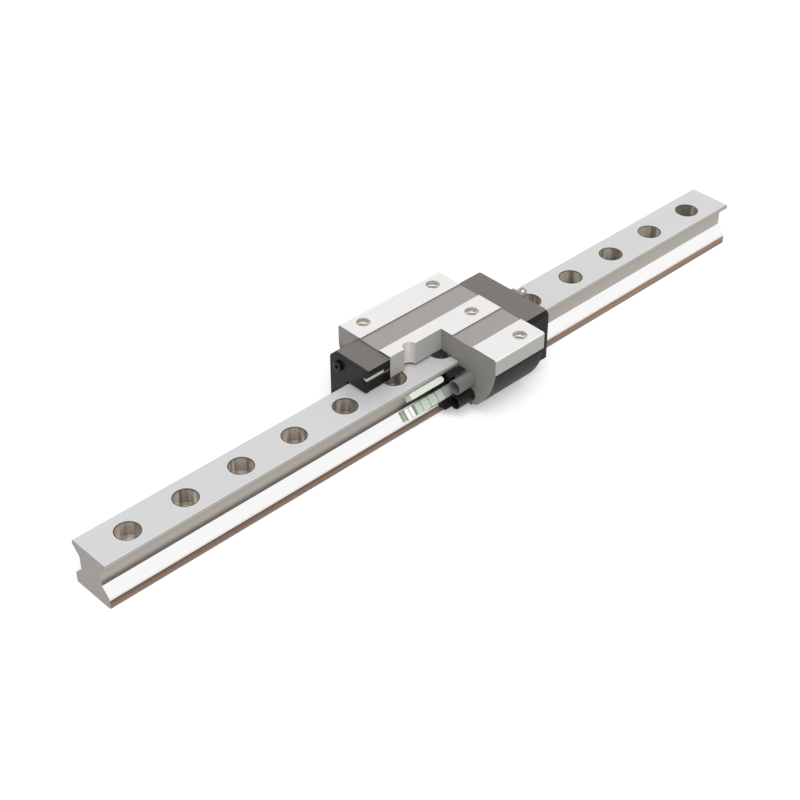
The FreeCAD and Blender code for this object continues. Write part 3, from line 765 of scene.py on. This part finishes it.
def settle(piece: Object, body: str, material: Material) -> None:
    """Finish a new piece.

    Args:
        piece: The piece.
        body: The body that it rides on.
        material: Its finish.
    """
    dress(piece, material)
    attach(piece, body)
    LOG.info("%s rides on %s", piece.name, body)


def copied(model: Object, name: str, place: Matrix) -> Object:
    """Copy a piece, with a mesh of its own.

    Args:
        model: The piece.
        name: The copy's name.
        place: How the copy is moved from the piece's own place, in metres.

    Returns:
        The copy, with its place in its mesh.
    """
    piece = bpy.data.objects.new(name, model.data.copy())
    piece.data.transform(place)
    bpy.context.scene.collection.objects.link(piece)
    return piece


@dataclass
class BrokenEdges:
    """A copy of a modelled piece whose sharp edges are broken, as on a real machined or moulded part.

    Widths are in millimetres and angles in degrees.
    """

    node: str
    name: str
    width: float
    flat: float = 0.5
    sharp: float = 25.0
    segments: int = 2
    least_edge: float = WELD

    def build(self) -> Object:
        """Copy the piece, join its loose triangles to whole faces and bevel its edges.

        Points closer than least_edge are merged after that, because a bevel can fold slivers where
        short edges meet. The normals are weighted by area, so that a wide flat face stays flat in the
        light up to its broken edge.

        Returns:
            The copy, which stands for the modelled piece.
        """
        piece = copied(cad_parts[self.node], self.name, Matrix.Identity(4))
        choose(piece)
        bpy.ops.object.mode_set(mode="EDIT")
        bpy.ops.mesh.select_all(action="SELECT")
        bpy.ops.mesh.remove_doubles(threshold=WELD * MM)
        bpy.ops.mesh.dissolve_limited(angle_limit=math.radians(self.flat))
        bpy.ops.object.mode_set(mode="OBJECT")
        bevel = piece.modifiers.new("broken_edges", "BEVEL")
        bevel.width = self.width * MM
        bevel.segments = self.segments
        bevel.limit_method = "ANGLE"
        bevel.angle_limit = math.radians(self.sharp)
        bevel.use_clamp_overlap = True
        bpy.ops.object.modifier_apply(modifier=bevel.name)
        bpy.ops.object.mode_set(mode="EDIT")
        bpy.ops.mesh.select_all(action="SELECT")
        bpy.ops.mesh.remove_doubles(threshold=self.least_edge * MM)
        bpy.ops.object.mode_set(mode="OBJECT")
        bpy.ops.object.shade_smooth_by_angle(angle=math.radians(self.sharp))
        flat_faces = piece.modifiers.new("flat_faces", "WEIGHTED_NORMAL")
        flat_faces.keep_sharp = True
        bpy.ops.object.modifier_apply(modifier=flat_faces.name)
        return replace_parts(piece, self.node)


@dataclass
class CapScrew:
    """A low socket head screw that holds a seal plate and an end cap to the block."""

    head_radius: float = 2.6
    head_height: float = 1.6
    socket_across: float = 2.0
    socket_depth: float = 1.0
    socket_sides: int = 6
    edge: float = 0.3
    edge_steps: int = 3
    sides: int = 40
    sharp: float = 35.0

    def model(self) -> Object:
        """Model one screw head that stands on the plane x = 0 and looks along +X.

        Returns:
            The head, which is copied to each of its places.
        """
        face = self.head_height * MM
        bpy.ops.object.select_all(action="DESELECT")
        bpy.ops.mesh.primitive_cylinder_add(
            vertices=self.sides, radius=self.head_radius * MM, depth=face,
            location=(face / 2, 0, 0), rotation=(0, math.pi / 2, 0))
        head = bpy.context.object
        bpy.ops.object.transform_apply(location=True, rotation=True, scale=True)
        for polygon in head.data.polygons:
            polygon.select = abs(polygon.center.x - face) < ON_FACE * MM
        bpy.ops.object.mode_set(mode="EDIT")
        bpy.ops.mesh.select_mode(type="FACE")
        bpy.ops.mesh.bevel(offset=self.edge * MM, segments=self.edge_steps, affect="EDGES")
        bpy.ops.object.mode_set(mode="OBJECT")
        bpy.ops.object.select_all(action="DESELECT")
        bpy.ops.mesh.primitive_cylinder_add(
            vertices=self.socket_sides, radius=self.socket_across / math.sqrt(3) * MM,
            depth=2 * self.socket_depth * MM, location=(face, 0, 0), rotation=(0, math.pi / 2, 0))
        cutter = bpy.context.object
        choose(head)
        socket = head.modifiers.new("socket", "BOOLEAN")
        socket.operation = "DIFFERENCE"
        socket.object = cutter
        bpy.ops.object.modifier_apply(modifier=socket.name)
        bpy.data.objects.remove(cutter)
        bpy.ops.object.shade_smooth_by_angle(angle=math.radians(self.sharp))
        return head


@dataclass
class TappedThread:
    """The helical ridge of a metric thread inside a drilled hole."""

    radius: float = 3.45
    ridge: float = 0.45
    pitch: float = 1.25
    turns: int = 9
    steps: int = 24
    sharp: float = 40.0

    def model(self) -> Object:
        """Model the ridge of one tapped hole, with its top at the origin.

        Returns:
            The ridge, which is copied into each hole.
        """
        start = Vector((self.radius - self.ridge / 2, 0, -self.turns * self.pitch)) * MM
        bpy.ops.object.select_all(action="DESELECT")
        bpy.ops.mesh.primitive_circle_add(
            vertices=3, radius=self.ridge * MM, fill_type="NOTHING",
            location=start, rotation=(math.pi / 2, -math.pi / 2, 0))
        thread = bpy.context.object
        bpy.ops.object.transform_apply(location=True, rotation=True, scale=True)
        winding = thread.modifiers.new("winding", "SCREW")
        winding.axis = "Z"
        winding.screw_offset = self.pitch * MM
        winding.iterations = self.turns - 1
        winding.steps = winding.render_steps = self.steps
        bpy.ops.object.modifier_apply(modifier=winding.name)
        bpy.ops.object.mode_set(mode="EDIT")
        bpy.ops.mesh.select_all(action="SELECT")
        bpy.ops.mesh.remove_doubles(threshold=WELD * MM)
        bpy.ops.mesh.select_all(action="DESELECT")
        bpy.ops.mesh.select_non_manifold()
        bpy.ops.mesh.edge_face_add()
        bpy.ops.mesh.select_all(action="SELECT")
        bpy.ops.mesh.normals_make_consistent(inside=False)
        bpy.ops.object.mode_set(mode="OBJECT")
        bpy.ops.object.shade_smooth_by_angle(angle=math.radians(self.sharp))
        return thread


@dataclass
class Rail:
    """The ground rail."""

    edge: float = 0.15

    def build(self) -> None:
        """Break the rail's edges and dress it."""
        piece = BrokenEdges("rail", "rail_ground", self.edge).build()
        settle(piece, "rail", GroundRailSteel().build())


@dataclass
class Block:
    """The steel block of the carriage and the threads in its holes."""

    edge: float = 0.3
    least_edge: float = 0.03
    holes_along: float = 45.0
    holes_across: float = 57.0
    centre_holes_along: float = 40.0
    thread_top: float = 35.5

    def build(self) -> None:
        """Break the block's edges, tap its whole holes and dress them."""
        steel = MilledBlockSteel().build()
        piece = BrokenEdges("carriage_block", "carriage_block_milled", self.edge,
                            least_edge=self.least_edge).build()
        settle(piece, "carriage", steel)
        tapped = PlainSteel("tapped_thread_steel", metallic=0.4, colour="e0dcd5", stain="c9c3ba",
                            roughness=(0.35, 0.48)).build()
        x, y = self.holes_along / 2, self.holes_across / 2
        places = {
            "left_front_thread": (-x, y), "left_rear_thread": (x, y), "right_rear_thread": (x, -y),
            "centre_rear_thread": (self.centre_holes_along / 2, 0.0),
        }
        ridge = TappedThread().model()
        for name, (along, across) in places.items():
            place = Matrix.Translation(Vector((along, across, self.thread_top)) * MM)
            settle(copied(ridge, name, place), "carriage", tapped)
        bpy.data.objects.remove(ridge)


@dataclass
class Ends:
    """The end caps, seals and plates at both ends, and the screws that hold them."""

    edge: float = 0.35
    screw_across: float = 17.5
    screw_heights: Span = (29.8, 8.2)

    def build(self) -> None:
        """Dress the ends and put their screws in."""
        # Painted light: the caps' up-facing faces are painted a pale grey-brown, as lit.
        resin = MouldedResin("glass_filled_nylon", gloss=0.1, colour="211f1d", upper="797572",
                             roughness=(0.36, 0.48)).build()
        screw = PlainSteel("blackened_screw_steel", metallic=0.4, gloss=0.3, colour="1d1c1a",
                           stain="141312", roughness=(0.3, 0.43)).build()
        rubber = {"front": SealRubber(),
                  # Painted light: the rear seal's up-facing faces are painted a pale grey-brown, as lit.
                  "rear": SealRubber("nitrile_rubber_lit_top", dust_and_top_light="7c7772", least_dust_and_light=0.85)}
        black = partial(PlainSteel, metallic=0.2, gloss=0.2, colour="171615", stain="100f0e",
                        roughness=(0.35, 0.48), marks=(2.0, 0.5, 6.0))
        plates = {"front": black("blackened_plate_steel"),
                  # Painted light: the rear plate's up-facing faces are painted a pale grey-brown, as lit.
                  "rear": black("blackened_plate_steel_worn", upper="6f6a65")}
        head = CapScrew().model()
        for end, turn in (("front", math.pi), ("rear", 0.0)):
            cap = BrokenEdges(f"{end}_end_cap", f"{end}_end_cap_moulded", self.edge).build()
            settle(cap, "carriage", resin)
            dress(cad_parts[f"{end}_end_seal"], rubber[end].build())
            dress(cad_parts[f"{end}_seal_plate"], plates[end].build())
            for name, across, height in self.screw_places(end):
                place = Matrix.Translation(Vector((self.plate_face(end), across, height)) * MM)
                piece = copied(head, name, place @ Matrix.Rotation(turn, 4, "Z"))
                settle(piece, "carriage", screw)
        bpy.data.objects.remove(head)

    @staticmethod
    def plate_face(end: str) -> float:
        """The place of a seal plate's outer face along X, in millimetres."""
        low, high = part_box(f"{end}_seal_plate")
        return (low.x if end == "front" else high.x) / MM

    def screw_places(self, end: str) -> list[tuple[str, float, float]]:
        """The screws of one end. The front right ones are cut away.

        Args:
            end: Front or rear.

        Returns:
            Each screw's name and its places along Y and Z, in millimetres.
        """
        sides = {"left": self.screw_across, "right": -self.screw_across}
        if end == "front":
            del sides["right"]
        return [(f"{end}_{side}_{row}_cap_screw", across, height) for side, across in sides.items()
                for row, height in zip(("upper", "lower"), self.screw_heights)]


@dataclass
class Recirculation:
    """The chains, rollers, strips, tubes and cores inside the carriage, and its fittings."""

    lit_tube_colour: str = "6f7370"
    lit_tube_top: str = "7b7e7b"

    def build(self) -> None:
        """Dress each piece by what it is, which the end of its name says."""
        black = MouldedResin("black_acetal").build()
        # Painted light: the two return tubes are the same part; lower_return_tube is painted a lit grey
        # with a paler top, and upper_return_tube black as its shade.
        lit_tube = MouldedResin("tube_resin_painted_lit", colour=self.lit_tube_colour, upper=self.lit_tube_top).build()
        finishes = {
            "roller_chain": ChainResin().build(), "rollers": GroundRollerSteel().build(),
            "holder": black, "return_guide": black, "upper_return_tube": black,
            "lower_return_tube": lit_tube, "side_seal": SealRubber().build(),
            "nipple": PlainSteel("zinc_plated_steel").build(), "plug": PlugSteel().build(),
        }
        for name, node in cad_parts.items():
            for ending, material in finishes.items():
                if name.endswith(ending):
                    dress(node, material)


@dataclass
class Studio:
    """The floor, the light and the camera. Places are in metres."""

    camera_place: Size = (-0.465678, -0.461397, 0.503093)
    yaw: float = 0.8097
    pitch: float = 0.6602
    lens: float = 78.59
    sensor: float = 36.0
    near: float = 0.01
    floor_size: float = 60.0
    floor_drop: float = 0.0002
    floor_colour: str = "e6e6e6"
    floor_roughness: float = 0.9
    floor_lift: float = 0.34
    fill: float = 0.55
    key_strength: float = 1.9
    key_softness: float = 55.0
    key_from: Size = (-0.3, -0.42, 0.86)

    def build(self) -> None:
        """Set everything up."""
        self.add_camera()
        self.add_floor()
        self.add_world()
        self.add_key()
        bpy.context.scene.view_settings.view_transform = "Standard"

    def add_camera(self) -> None:
        """Put the camera where the photograph was taken from."""
        data = bpy.data.cameras.new("camera")
        data.sensor_width, data.lens, data.clip_start = self.sensor, self.lens, self.near
        camera = bpy.data.objects.new("camera", data)
        camera.location = self.camera_place
        camera.rotation_euler = Euler((math.pi / 2 - self.pitch, 0, self.yaw - math.pi / 2))
        bpy.context.scene.collection.objects.link(camera)
        bpy.context.scene.camera = camera

    @staticmethod
    def seen(tree: NodeTree) -> NodeSocket:
        """A mask of the rays that see the background: camera, glossy and transmission rays.

        Args:
            tree: The tree that the mask goes into.

        Returns:
            The mask's socket.
        """
        path = add_node(tree, "ShaderNodeLightPath")
        mask = path.outputs["Is Camera Ray"]
        for name in ("Is Glossy Ray", "Is Transmission Ray"):
            inputs = {0: mask, 1: path.outputs[name]}
            mask = add_node(tree, "ShaderNodeMath", inputs, operation="MAXIMUM").outputs[0]
        return mask

    def add_floor(self) -> None:
        """A plain white floor that keeps the object's shadow."""
        bpy.ops.object.select_all(action="DESELECT")
        bpy.ops.mesh.primitive_plane_add(size=self.floor_size, location=(0, 0, -self.floor_drop))
        floor = bpy.context.object
        floor.name = "floor"
        material = bpy.data.materials.new("white_floor_card")
        material.use_nodes = True
        tree = material.node_tree
        shader = tree.nodes["Principled BSDF"]
        shader.inputs["Base Color"].default_value = srgb(self.floor_colour)
        shader.inputs["Roughness"].default_value = self.floor_roughness
        shader.inputs["Specular IOR Level"].default_value = 0.0
        lift = add_node(tree, "ShaderNodeMath", {0: self.seen(tree), 1: self.floor_lift},
                        operation="MULTIPLY")
        white = {"Color": srgb("ffffff"), "Strength": lift.outputs[0]}
        glow = add_node(tree, "ShaderNodeEmission", white)
        added = add_node(tree, "ShaderNodeAddShader", {0: shader.outputs[0], 1: glow.outputs[0]})
        tree.links.new(added.outputs[0], tree.nodes["Material Output"].inputs["Surface"])
        dress(floor, material)

    def add_world(self) -> None:
        """A white room: full white where it is seen, and a soft fill elsewhere."""
        world = bpy.data.worlds.new("white_room")
        bpy.context.scene.world = world
        world.use_nodes = True
        tree = world.node_tree
        inputs = {"Value": self.seen(tree), "To Min": self.fill, "To Max": 1.0}
        strength = add_node(tree, "ShaderNodeMapRange", inputs)
        background = tree.nodes["Background"]
        background.inputs["Color"].default_value = srgb("ffffff")
        tree.links.new(strength.outputs[0], background.inputs["Strength"])

    def add_key(self) -> None:
        """One broad soft light from above the cut side, even over the whole floor."""
        light = bpy.data.lights.new("key", "SUN")
        light.energy, light.angle = self.key_strength, math.radians(self.key_softness)
        lamp = bpy.data.objects.new("key", light)
        lamp.location = self.key_from
        lamp.rotation_euler = (-lamp.location).to_track_quat("-Z", "Y").to_euler()
        bpy.context.scene.collection.objects.link(lamp)


def main() -> None:
    """Build and dress the guide, then set up the studio."""
    logging.basicConfig(level=logging.INFO)
    for assembly in (Rail(), Block(), Ends(), Recirculation(), Studio()):
        LOG.info("building %s", type(assembly).__name__)
        assembly.build()


if __name__ == "__main__":
    main()
